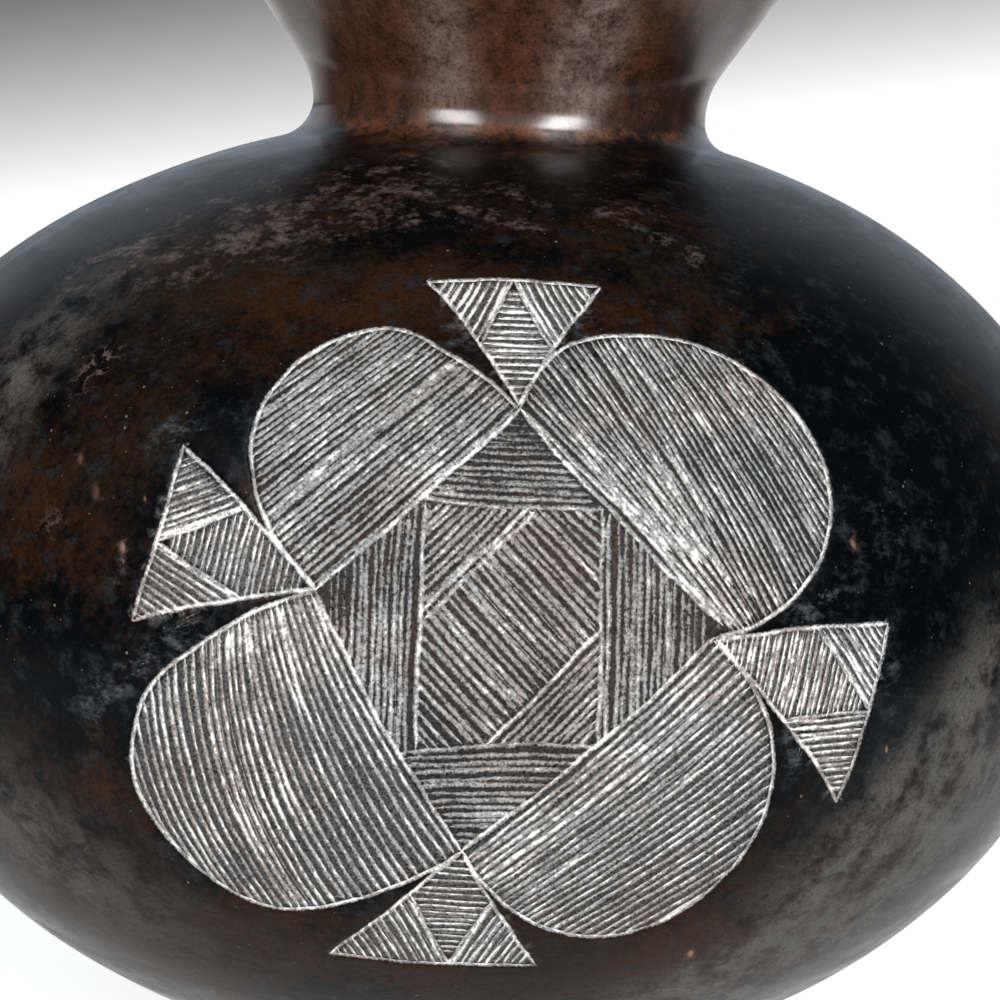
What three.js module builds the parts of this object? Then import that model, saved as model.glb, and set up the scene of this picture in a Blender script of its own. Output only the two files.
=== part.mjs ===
// A hand-built clay pot: a low round body, a narrow neck set a little off centre, and a flared mouth.
// It is raised from a flat-bottomed dish in broad courses of clay, each bevelled and luted on the last.
// Millimetres, +Z up. The origin is the middle of the flat seat that the pot stands on.
import * as THREE from "three";

// Overall form
const BODY_DIAMETER = 300;
const SHOULDER_RISE = 105.5;
const BELLY_DROP = 117;
const SEAT_DIAMETER = 100;

// Neck and mouth
const NECK_DIAMETER = 93;
const NECK_FILLET = 8;
const NECK_OFFSET = 5.7;
const FLARE_RADIUS = 18;
const FLARE_ANGLE = THREE.MathUtils.degToRad(34.8);
const MOUTH_DIAMETER = 152;

// Wall thickness, drawn thinner from the foot to the lip, and the thickness of the floor
const FOOT_WALL = 10;
const LIP_WALL = 7;
const FLOOR = 10;

// Wall of the starting dish and the coil of the rim, measured along the outside of the wall.
// Between the dish and the neck the body is raised in a number of even courses.
const DISH_WALL = 62;
const WALL_COURSES = 6;
const RIM_COIL = 15;

// Luted joints: each course leans into the one below on a bevel, with a thin bed of slip between
const BEVEL = 6;
const SLIP = 0.3;

// Facets round the pot, and the longest step along the wall on each kind of course
const SEGMENTS = 60;
const BODY_STEP = 14;
const NECK_STEP = 5;
const FLARE_STEP = 10;
const LIP_STEPS = 6;

const bellyRadius = BODY_DIAMETER / 2;
const neckRadius = NECK_DIAMETER / 2;
const seatAngle = Math.acos(SEAT_DIAMETER / BODY_DIAMETER);
const bellyHeight = BELLY_DROP * Math.sin(seatAngle);

// Point and outward normal of the shoulder's ellipse at an angle above the belly
function shoulderAt(angle) {
  const point = new THREE.Vector2(
    bellyRadius * Math.cos(angle),
    bellyHeight + SHOULDER_RISE * Math.sin(angle),
  );
  const normal = new THREE.Vector2(
    Math.cos(angle) / bellyRadius,
    Math.sin(angle) / SHOULDER_RISE,
  ).normalize();
  return { point, normal };
}

// The neck's fillet is a circle that touches the shoulder and stands its own radius outside the neck.
// Its centre is that far off the shoulder, at the angle found here by halving.
function filletAngle() {
  const reach = neckRadius + NECK_FILLET;
  let low = 0;
  let high = Math.PI / 2;
  for (let halving = 0; halving < 50; halving += 1) {
    const angle = (low + high) / 2;
    const { point, normal } = shoulderAt(angle);
    const tooFarOut = point.x + NECK_FILLET * normal.x > reach;
    low = tooFarOut ? angle : low;
    high = tooFarOut ? high : angle;
  }
  return low;
}

const shoulderEnd = filletAngle();
const filletFoot = shoulderAt(shoulderEnd);
const filletCentre = filletFoot.point.clone().addScaledVector(filletFoot.normal, NECK_FILLET);
const filletStart = Math.PI + filletFoot.normal.angle();
const neckHeight = filletCentre.y;

// The outside of the wall as one smooth curve of radius and height, from the seat's edge to the lip
const body = new THREE.Path();
body.absellipse(0, bellyHeight, bellyRadius, BELLY_DROP, -seatAngle, 0, false);
body.absellipse(0, bellyHeight, bellyRadius, SHOULDER_RISE, 0, shoulderEnd, false);

const skin = body.clone();
const flareCentre = neckRadius + FLARE_RADIUS;
skin.absarc(filletCentre.x, filletCentre.y, NECK_FILLET, filletStart, Math.PI, true);
skin.absarc(flareCentre, neckHeight, FLARE_RADIUS, Math.PI, Math.PI - FLARE_ANGLE, true);
const flareEnd = skin.currentPoint.clone();
const coneRise = (MOUTH_DIAMETER / 2 - flareEnd.x) / Math.tan(FLARE_ANGLE);
skin.lineTo(MOUTH_DIAMETER / 2, flareEnd.y + coneRise);

const bodyLength = body.getLength();
const skinLength = skin.getLength();
const coneLength = flareEnd.distanceTo(skin.currentPoint);

// A point in the wall: how far along the outside, and what share of the thickness lies outside it
function wallPoint(along, share) {
  const portion = along / skinLength;
  const thickness = THREE.MathUtils.lerp(FOOT_WALL, LIP_WALL, portion);
  const tangent = skin.getTangentAt(portion);
  const inward = new THREE.Vector2(-tangent.y, tangent.x);
  return skin.getPointAt(portion).addScaledVector(inward, share * thickness);
}

// Evenly spaced points along one face of the wall
function wallFace(from, to, share, longestStep) {
  const steps = Math.ceil(Math.abs(to - from) / longestStep);
  const points = [];
  for (let step = 0; step <= steps; step += 1) {
    points.push(wallPoint(THREE.MathUtils.lerp(from, to, step / steps), share));
  }
  return points;
}

// A luted joint that opens at one place on the outside of the wall and climbs by the bevel to the inside.
// Each side of it is given by where its face meets the outside and the inside of the wall.
// The bed of slip lies square to that face, so it takes more of the wall where they meet at a low angle.
function lutedJoint(outside) {
  const inside = outside + BEVEL;
  const face = wallPoint(inside, 1).sub(wallPoint(outside, 0)).normalize();
  const slipAlong = (along) => SLIP / Math.abs(face.cross(skin.getTangentAt(along / skinLength)));
  return {
    lower: { outside, inside },
    upper: { outside: outside + slipAlong(outside), inside: inside + slipAlong(inside) },
  };
}

// A course between two joints: up the outside, across the upper bevel, down the inside and back
function courseProfile(jointBelow, jointAbove, longestStep) {
  const from = jointBelow.upper;
  const to = jointAbove.lower;
  const outside = wallFace(from.outside, to.outside, 0, longestStep);
  const inside = wallFace(to.inside, from.inside, 1, longestStep);
  return [...outside, ...inside, outside[0].clone()];
}

// The dish starts and ends on the axis: flat seat below, its wall, and a level floor inside,
// where the wall runs into the floor at 45 degrees
function dishProfile(jointAbove) {
  const to = jointAbove.lower;
  const outside = wallFace(0, to.outside, 0, BODY_STEP);
  const inside = wallFace(to.inside, 0, 1, BODY_STEP).filter((point) => point.y > FLOOR);
  const last = inside[inside.length - 1];
  const floorEdge = new THREE.Vector2(last.x - (last.y - FLOOR), FLOOR);
  return [new THREE.Vector2(0, 0), ...outside, ...inside, floorEdge, new THREE.Vector2(0, FLOOR)];
}

// The rim coil ends in a lip rounded over from the outside of the wall to the inside
function rimProfile(jointBelow) {
  const from = jointBelow.upper;
  const outside = wallFace(from.outside, skinLength, 0, FLARE_STEP);
  const inside = wallFace(skinLength, from.inside, 1, FLARE_STEP);
  const outerEdge = outside[outside.length - 1];
  const lipCentre = outerEdge.clone().lerp(inside[0], 0.5);
  const lip = [];
  for (let step = 1; step < LIP_STEPS; step += 1) {
    lip.push(outerEdge.clone().rotateAround(lipCentre, (Math.PI * step) / LIP_STEPS));
  }
  return [...outside, ...lip, ...inside, outside[0].clone()];
}

// Revolves a profile about +Z, then carries it sideways with the neck: nothing at the belly,
// the whole offset from the neck upwards, and growing with the square of the height between
function revolve(profile) {
  const geometry = new THREE.LatheGeometry(profile, SEGMENTS);
  geometry.rotateX(Math.PI / 2);
  const position = geometry.getAttribute("position");
  for (let index = 0; index < position.count; index += 1) {
    const rise = (position.getZ(index) - bellyHeight) / (neckHeight - bellyHeight);
    const share = THREE.MathUtils.clamp(rise, 0, 1) ** 2;
    position.setX(index, position.getX(index) + NECK_OFFSET * share);
  }
  geometry.computeVertexNormals();
  return geometry;
}

const blackenedClay = new THREE.MeshStandardMaterial({ color: 0x2a1d18, roughness: 0.42, metalness: 0 });
const brownClay = new THREE.MeshStandardMaterial({ color: 0x4a2d22, roughness: 0.4, metalness: 0 });

const pot = new THREE.Group();

function addPiece(name, profile, material) {
  const mesh = new THREE.Mesh(revolve(profile), material);
  mesh.name = name;
  pot.add(mesh);
}

// The dish, then the courses of the body, evenly spaced up to the start of the neck's fillet
const courseHeight = (bodyLength - DISH_WALL) / WALL_COURSES;
const bodyJoints = [];
for (let course = 0; course <= WALL_COURSES; course += 1) {
  bodyJoints.push(lutedJoint(DISH_WALL + course * courseHeight));
}
addPiece("base_dish", dishProfile(bodyJoints[0]), blackenedClay);
for (let course = 1; course <= WALL_COURSES; course += 1) {
  const profile = courseProfile(bodyJoints[course - 1], bodyJoints[course], BODY_STEP);
  addPiece(`wall_course_${course}`, profile, blackenedClay);
}

// The neck: a collar set on the shoulder up to where the flare runs straight, the flare, and the rim
const neckJoint = bodyJoints[WALL_COURSES];
const flareJoint = lutedJoint(skinLength - coneLength);
const rimJoint = lutedJoint(skinLength - RIM_COIL);
addPiece("neck_collar", courseProfile(neckJoint, flareJoint, NECK_STEP), brownClay);
addPiece("flare_course", courseProfile(flareJoint, rimJoint, FLARE_STEP), brownClay);
addPiece("rim_coil", rimProfile(rimJoint), brownClay);

export default pot;
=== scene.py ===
import math

import bpy
import numpy as np
from mathutils import Matrix, Vector, geometry, kdtree


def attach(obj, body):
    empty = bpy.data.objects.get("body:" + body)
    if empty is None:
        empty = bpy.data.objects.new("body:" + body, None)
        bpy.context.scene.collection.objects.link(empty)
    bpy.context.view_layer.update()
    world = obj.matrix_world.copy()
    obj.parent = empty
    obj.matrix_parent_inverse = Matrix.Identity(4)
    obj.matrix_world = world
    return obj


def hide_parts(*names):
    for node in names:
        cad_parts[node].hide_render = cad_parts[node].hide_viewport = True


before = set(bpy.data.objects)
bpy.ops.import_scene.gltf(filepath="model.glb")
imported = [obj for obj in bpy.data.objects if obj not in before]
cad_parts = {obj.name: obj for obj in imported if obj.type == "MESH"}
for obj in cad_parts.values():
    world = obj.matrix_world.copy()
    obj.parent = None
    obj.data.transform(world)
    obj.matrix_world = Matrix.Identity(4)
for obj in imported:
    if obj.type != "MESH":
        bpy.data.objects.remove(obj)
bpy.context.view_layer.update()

# The base dish: a pat of clay beaten into a shallow bowl, with a flat seat that the pot stands on.
# Its bevelled edge carries the first course of the wall, luted on with slip and smoothed over.
# Outside it is burnished with a pebble and blackened in smoke; inside it is only wiped by hand.

MM = 0.001  # shapes are worked out in millimetres, and become metres as a mesh is made

BELLY_RADIUS = 150.0
SHOULDER_RISE = 105.5
BELLY_DROP = 117.0
SEAT_RADIUS = 50.0
SEAT_EDGE = 4.0
NECK_RADIUS = 46.5
NECK_FILLET = 8.0
NECK_OFFSET = 5.7
FLARE_RADIUS = 18.0
FLARE_ANGLE = math.radians(34.8)
MOUTH_RADIUS = 76.0
FOOT_WALL = 10.0
LIP_WALL = 7.0
FLOOR = 10.0
BEVEL = 6.0
DISH_WALL = 62.0

seat_angle = math.acos(SEAT_RADIUS / BELLY_RADIUS)
belly_height = BELLY_DROP * math.sin(seat_angle)
belly_centre = (0.0, belly_height)


# The shoulder's outline, and the direction it faces, at an angle above the belly
def shoulder(angle):
    point = np.array([BELLY_RADIUS * math.cos(angle), belly_height + SHOULDER_RISE * math.sin(angle)])
    out = np.array([math.cos(angle) / BELLY_RADIUS, math.sin(angle) / SHOULDER_RISE])
    return point, out / np.linalg.norm(out)


# The neck's fillet touches the shoulder and stands its own radius outside the neck. Where it starts is
# found by halving.
HALVINGS = 50
low, high = 0.0, math.pi / 2
for _ in range(HALVINGS):
    shoulder_end = (low + high) / 2
    fillet_foot, foot_out = shoulder(shoulder_end)
    if fillet_foot[0] + NECK_FILLET * foot_out[0] > NECK_RADIUS + NECK_FILLET:
        low = shoulder_end
    else:
        high = shoulder_end
fillet_centre = fillet_foot + NECK_FILLET * foot_out
fillet_start = math.pi + math.atan2(foot_out[1], foot_out[0])
neck_height = fillet_centre[1]
flare_centre = (NECK_RADIUS + FLARE_RADIUS, neck_height)
ARC_STEPS = 900
CONE_STEPS = 300


def arc(centre, across, up, start, end):
    turn = np.linspace(start, end, ARC_STEPS)
    return np.stack([centre[0] + across * np.cos(turn), centre[1] + up * np.sin(turn)], axis=1)


# The outside of the whole wall is one smooth curve of radius and height, from the seat to the lip
outline_parts = [
    arc(belly_centre, BELLY_RADIUS, BELLY_DROP, -seat_angle, 0.0),
    arc(belly_centre, BELLY_RADIUS, SHOULDER_RISE, 0.0, shoulder_end),
    arc(fillet_centre, NECK_FILLET, NECK_FILLET, fillet_start, math.pi),
    arc(flare_centre, FLARE_RADIUS, FLARE_RADIUS, math.pi, math.pi - FLARE_ANGLE),
]
flare_end = outline_parts[-1][-1]
cone_rise = (MOUTH_RADIUS - flare_end[0]) / math.tan(FLARE_ANGLE)
cone_end = flare_end + [MOUTH_RADIUS - flare_end[0], cone_rise]
outline_parts.append(np.linspace(flare_end, cone_end, CONE_STEPS))
outline = np.concatenate([outline_parts[0]] + [part[1:] for part in outline_parts[1:]])
outline_along = np.append(0.0, np.cumsum(np.linalg.norm(np.diff(outline, axis=0), axis=1)))
outline_heading = np.gradient(outline, outline_along, axis=0)

part_ends = outline_along[np.cumsum([len(part) - 1 for part in outline_parts])]
belly_along, body_length, _, collar_length, skin_length = part_ends


# Radius, height and outward direction of the wall at a length along its outside
def wall(along):
    radius = np.interp(along, outline_along, outline[:, 0])
    height = np.interp(along, outline_along, outline[:, 1])
    heading_r = np.interp(along, outline_along, outline_heading[:, 0])
    heading_z = np.interp(along, outline_along, outline_heading[:, 1])
    length = np.hypot(heading_r, heading_z)
    return radius, height, heading_z / length, -heading_r / length


def thickness(along):
    return FOOT_WALL + (LIP_WALL - FOOT_WALL) * np.clip(along / skin_length, 0, 1)


# How far the hand-built outside stands proud of the true curve: slow waves, pats of the beater and rubs
# of the pebble, all of them less near the foot
OVAL_WAVE = 0.28
LEANING_WAVE = 0.22
PAT_HEIGHT = 0.06
RUB_HEIGHT = 0.035
FLAT_FOOT = 25.0


def lumps(turn, along):
    slow = OVAL_WAVE * np.sin(2 * turn + 0.8) + LEANING_WAVE * np.sin(3 * turn - 1.1 + along / 60)
    pats = PAT_HEIGHT * np.sin(9 * turn + along / 11) * np.sin(along / 23 + 2 * np.sin(3 * turn))
    rubs = RUB_HEIGHT * np.sin(19 * turn - along / 8 + 2 * np.sin(2 * turn))
    return (slow + pats + rubs) * np.clip((along - SEAT_EDGE) / FLAT_FOOT, 0, 1)


# Ridges that wiping fingers leave on the inside, and the hollows that they press
WIPE_RIDGE = 0.25
WIPE_HOLLOW = 0.4


def wipe_marks(turn, along):
    wander = 1.5 * np.sin(2 * turn + 0.4) + 0.8 * np.sin(5 * turn)
    return WIPE_RIDGE * np.sin(along / 2.1 + wander) + WIPE_HOLLOW * np.sin(3 * turn + along / 40)


# A point of the pot from its angle round the axis, its radius and its height. The neck sits off to one
# side, and the shoulder leans that way with the square of its height above the belly.
def carried(turn, radius, height):
    rise = np.clip((height - belly_height) / (neck_height - belly_height), 0, 1)
    across = radius * np.sin(turn) + NECK_OFFSET * rise**2
    return np.stack(np.broadcast_arrays(across, -radius * np.cos(turn), height), axis=-1)


# A point of the outside, sunk into the wall by some depth
def outside(turn, along, sunk=0.0):
    radius, height, out_r, out_z = wall(along)
    proud = lumps(turn, along) - sunk
    return carried(turn, radius + proud * out_r, height + proud * out_z)


def inside(turn, along):
    radius, height, out_r, out_z = wall(along)
    deep = thickness(along) + wipe_marks(turn, along)
    return carried(turn, radius - deep * out_r, height - deep * out_z)


# Outward direction of one face of the wall, from its slope over a small step each way
SMALL_TURN = 0.002
SMALL_STEP = 0.2


def facing(face, turn, along):
    across = face(turn + SMALL_TURN, along) - face(turn - SMALL_TURN, along)
    up = face(turn, along + SMALL_STEP) - face(turn, along - SMALL_STEP)
    normal = np.cross(across, up)
    return normal / np.linalg.norm(normal, axis=-1, keepdims=True)


# Each ring of the pot has a column of points every degree and a half. The front columns are those
# that the incised figure crosses.
COLUMNS = 240
FRONT_COLUMNS = 40
column_turn = 2 * math.pi / COLUMNS
column_turns = -math.pi + column_turn * np.arange(COLUMNS)
all_columns = np.arange(COLUMNS)
front_first = COLUMNS // 2 - FRONT_COLUMNS
front_last = COLUMNS // 2 + FRONT_COLUMNS
front_turn = column_turn * FRONT_COLUMNS
front_columns = all_columns[front_first:front_last]
back_columns = np.delete(all_columns, front_columns)

# The two clays of a piece, and where their faces lie on the piece's flat map: the range up the map,
# the strips that the area is cut into across and up it, and the turn that it starts from and covers
BURNISHED, WIPED = 0, 1
FRONT_AREA = (0.0, 0.60, 2, 2, -front_turn, 2 * front_turn)
BACK_AREA = (0.60, 0.82, 2, 2, front_turn, 2 * math.pi - 2 * front_turn)
INSIDE_AREA = (0.82, 1.0, 2, 1, -math.pi, 2 * math.pi)
AREA_GUTTER = 0.06


# A turn as the nearest one to another
def near_turn(turn, other):
    return other + (turn - other + math.pi) % (2 * math.pi) - math.pi


# Places on the flat map for faces given by their corners' turns and their shares of the way up
def on_flat_map(area, turns, shares):
    bottom, top, strips_across, strips_up, first_turn, whole_turn = area
    strips = strips_across * strips_up
    strip_turn = whole_turn / strips
    middle = near_turn(turns, turns[:, :1]).mean(axis=1, keepdims=True)
    strip = np.floor((middle - first_turn) % (2 * math.pi) / strip_turn).clip(0, strips - 1)
    strip_middle = first_turn + (strip + 0.5) * strip_turn
    offset = (near_turn(turns, strip_middle) - strip_middle) / strip_turn
    filled = 1 - 2 * AREA_GUTTER
    u = (strip % strips_across + 0.5 + filled * offset) / strips_across
    v = (strip // strips_across + 0.5 + filled * (shares - 0.5)) / strips_up
    return np.stack([u, bottom + (top - bottom) * v], axis=-1)


# Marks that the fire, the hand and long use have left outside: brown clouds, pale scuffs, dried drops,
# smears of the white, and painted sheen: two pale bands up the neck, listed with the scuffs, and a grey
# sheen at the sides, both painted in for reflections. Each is given by its place, in millimetres round
# from the front at the belly's girth and above the belly, by its half lengths along and across it, by
# the degrees that it leans and by its strength. Brown marks below zero are black ones.
BROWN_MARKS = (
    (-50, 66, 52, 24, 5, 0.10),
    (50, 68, 24, 20, 0, 0.10),
    (-36, 79, 17, 5, 8, -0.22),
    (100, 52, 40, 42, 0, -0.15),
    (95, 5, 28, 40, 0, -0.16),
    (132, 46, 18, 18, 0, 0.10),
    (-95, 25, 30, 18, 0, 0.08),
    (-92, -8, 26, 22, 0, -0.16),
    (-78, -31, 13, 12, 0, 0.10),
    (-58, -66, 44, 13, 0, 0.16),
    (42, -67, 38, 9, 0, 0.18),
    (96, -50, 16, 12, 50, 0.24),
    (112, -26, 22, 22, 0, 0.06),
    (135, 112, 26, 18, 90, -0.14),
)
SCUFFS_AND_SHEEN_BANDS = (
    (-108, 71, 18, 7, 14, 1.0),
    (-95, 79, 26, 10, 12, 1.0),
    (-62, 83, 24, 6, 8, 0.9),
    (-46, 89, 14, 5, 5, 0.7),
    (8, 84, 12, 5, -12, 0.6),
    (56, 84, 14, 5, -15, 0.5),
    (64, 78, 9, 4, -35, 0.4),
    # The last two are not scuffs but pale bands of painted sheen up the neck, above its highlights
    (-45, 120, 20, 8, 90, 0.66),
    (50, 120, 21, 9.5, 90, 1.0),
)
STAINS = (
    (-97, 50, 6, 4, 60, 0.9),
    (-119, 46, 4, 2, 30, 0.9),
    (-92, 19, 5, 4, 20, 0.5),
)
SMEARS = (
    (-61, -3, 12, 4, 35, 1.0),
    (-77, -16, 9, 6, 40, 0.7),
    (-72.5, 11, 3, 8, 0, 0.6),
    (-68, 40, 6, 5, 45, 0.9),
    (74, 10, 9, 3.5, 20, 0.8),
    (71.5, -17, 4, 9, 0, 0.9),
    (-7.5, 62, 8, 3, -55, 0.9),
    (24.5, 63, 8, 3, 55, 0.8),
    (92, 24, 20, 13, 0, 0.4),
    (94.5, -7, 3, 11, 8, 0.7),
)
# Patches of painted grey sheen at the sides, standing in for reflections of the pale floor and backdrop
PAINTED_SIDE_SHEENS = (
    (119, -46, 46, 18, 48, 1.0),
    (84, -78, 26, 10, 12, 0.9),
    (128, -16, 22, 14, 90, 0.75),
    (-124, 40, 34, 14, 80, 0.85),
    (108, -32, 36, 17, 45, 0.6),
    (-112, -50, 44, 20, -30, 0.6),
)


# How strong such marks are at each point
def marked(marks, points, turns):
    radius = np.hypot(points[:, 0], points[:, 1])
    strength = np.zeros(len(points))
    for place, rise, along, across, lean, amount in marks:
        right = near_turn(turns - place / BELLY_RADIUS, 0.0) * radius
        up = points[:, 2] - belly_height - rise
        ahead = math.cos(math.radians(lean)) * right + math.sin(math.radians(lean)) * up
        aside = math.cos(math.radians(lean)) * up - math.sin(math.radians(lean)) * right
        strength += amount * np.exp(-((ahead / along) ** 2) - (aside / across) ** 2)
    return strength


# One piece of clay, gathered ring by ring. Each corner of a face has the direction that it shades in
# and a place on the flat map, and each point says how much white lies in it and on it.
class ClayPiece:
    def __init__(self):
        self.points = np.zeros((0, 3))
        self.turns = np.zeros(0)
        self.whites = np.zeros((0, 4))
        self.faces, self.normals, self.places, self.clays = [], [], [], []

    def add_points(self, points, turns, whites=(0.0, 0.0, 0.0, 0.0)):
        count = len(self.points)
        self.points = np.concatenate([self.points, points])
        self.turns = np.concatenate([self.turns, turns])
        self.whites = np.concatenate([self.whites, np.broadcast_to(whites, (len(points), 4))])
        return np.arange(count, len(self.points))

    def add_faces(self, faces, normals, turns, shares, area, clay):
        self.faces += faces.tolist()
        self.normals.append(normals.reshape(-1, 3))
        self.places.append(on_flat_map(area, turns, shares).reshape(-1, 2))
        self.clays += [clay] * len(faces)

    # A ring of points and the directions that they shade in
    def add_ring(self, points, normals):
        return self.add_points(points, column_turns), normals

    # Quads from one ring to the next, over some of the columns
    def join(self, ring, next_ring, shares, area, clay, columns):
        (lower, below), (upper, above) = ring, next_ring
        after = (columns + 1) % COLUMNS
        faces = np.stack([lower[columns], lower[after], upper[after], upper[columns]], axis=1)
        normals = np.stack([below[columns], below[after], above[after], above[columns]], axis=1)
        turns = column_turns[columns, None] + column_turn * np.array([0, 1, 1, 0])
        rises = np.broadcast_to(np.repeat(shares, 2), turns.shape)
        self.add_faces(faces, normals, turns, rises, area, clay)

    def join_rings(self, rings, shares, clay):
        for row in range(len(rings) - 1):
            step = rings[row], rings[row + 1], shares[row : row + 2]
            if clay == BURNISHED:
                self.join(*step, FRONT_AREA, clay, front_columns)
                self.join(*step, BACK_AREA, clay, back_columns)
            else:
                self.join(*step, INSIDE_AREA, clay, all_columns)

    # Flat triangles from one closed loop to the next, whose points may lie at other turns
    def lace(self, loop, next_loop, shares, clay):
        lower, upper = np.append(loop, loop[0]), np.append(next_loop, next_loop[0])
        lower_turns, upper_turns = self.turns[lower], self.turns[upper]
        lower_turns[-1] += 2 * math.pi
        upper_turns[-1] += 2 * math.pi
        faces, turns, rises = [], [], []
        i, j = 0, 0
        while i < len(loop) or j < len(next_loop):
            if j == len(next_loop) or (i < len(loop) and lower_turns[i + 1] <= upper_turns[j + 1]):
                faces.append([lower[i], lower[i + 1], upper[j]])
                turns.append([lower_turns[i], lower_turns[i + 1], upper_turns[j]])
                rises.append([shares[0], shares[0], shares[1]])
                i += 1
            else:
                faces.append([lower[i], upper[j + 1], upper[j]])
                turns.append([lower_turns[i], upper_turns[j + 1], upper_turns[j]])
                rises.append([shares[0], shares[1], shares[1]])
                j += 1
        corners = self.points[np.array(faces)]
        normals = np.cross(corners[:, 1] - corners[:, 0], corners[:, 2] - corners[:, 0])
        normals /= np.linalg.norm(normals, axis=1, keepdims=True)
        normals = np.repeat(normals[:, None], 3, axis=1)
        self.add_faces(np.array(faces), normals, np.array(turns), np.array(rises), INSIDE_AREA, clay)

    # Triangles between a ring and a point on the axis, which comes after the ring or before it
    def close(self, ring, height, shares, clay, centre_last):
        loop, normals = ring
        centre = self.add_points(carried(0.0, np.zeros(1), np.full(1, height)), np.zeros(1))
        middle = np.repeat(centre, COLUMNS)
        after = np.roll(loop, -1)
        faces = np.stack([loop, after, middle] if centre_last else [after, loop, middle], axis=1)
        order = np.array([0, 1, 0.5] if centre_last else [1, 0, 0.5])
        turns = column_turns[:, None] + column_turn * order
        rises = np.broadcast_to([shares[0], shares[0], shares[1]], turns.shape)
        self.add_faces(faces, np.repeat(normals[:, None], 3, axis=1), turns, rises, INSIDE_AREA, clay)

    def make(self, name, clays):
        mesh = bpy.data.meshes.new(name)
        mesh.from_pydata((self.points * MM).tolist(), [], self.faces)
        for clay in clays:
            mesh.materials.append(clay)
        mesh.polygons.foreach_set("material_index", self.clays)
        mesh.shade_smooth()
        mesh.normals_split_custom_set(np.concatenate(self.normals).tolist())
        flat_map = mesh.uv_layers.new(name="OFBake")
        flat_map.uv.foreach_set("vector", np.concatenate(self.places).ravel())
        levels = dict(zip(("chalk", "fleck", "dust", "bare"), self.whites.T))
        levels["brown"] = marked(BROWN_MARKS, self.points, self.turns)
        for label, marks in (("scuff_and_sheen", SCUFFS_AND_SHEEN_BANDS), ("stain", STAINS), ("smear", SMEARS), ("painted_side_sheen", PAINTED_SIDE_SHEENS)):
            levels[label] = np.minimum(marked(marks, self.points, self.turns), 1)
        for label, level in levels.items():
            values = mesh.attributes.new(label, "FLOAT", "POINT").data
            values.foreach_set("value", np.ascontiguousarray(level))
        piece = bpy.data.objects.new(name + "_clay", mesh)
        bpy.context.scene.collection.objects.link(piece)
        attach(piece, "root")
        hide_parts(name)


def spaced(start, end, step):
    return np.linspace(start, end, math.ceil(abs(end - start) / step) + 1)


def outside_ring(piece, along):
    return piece.add_ring(outside(column_turns, along), facing(outside, column_turns, along))


def inside_ring(piece, along):
    return piece.add_ring(inside(column_turns, along), -facing(inside, column_turns, along))


# A ring of a turned profile, at a radius and a height, that shades outwards and upwards by these
def turned_ring(piece, radius, height, out, up):
    points = carried(column_turns, radius, np.full(COLUMNS, height))
    across, ahead = out * np.sin(column_turns), -out * np.cos(column_turns)
    return piece.add_ring(points, np.stack([across, ahead, np.full(COLUMNS, up)], axis=1))


# Rings of a rounded corner that leaves one profile point, heads for the corner and ends at another.
# Walking the profile from seat to lip, the clay is on the left hand.
def rounded_rings(piece, start, corner, end, steps):
    start, corner, end = np.array(start), np.array(corner), np.array(end)
    rings = []
    for t in np.linspace(0, 1, steps + 1):
        radius, height = (1 - t) ** 2 * start + 2 * t * (1 - t) * corner + t**2 * end
        heading = (1 - t) * (corner - start) + t * (end - corner)
        heading /= np.linalg.norm(heading)
        rings.append(turned_ring(piece, radius, height, heading[1], -heading[0]))
    return rings


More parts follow.
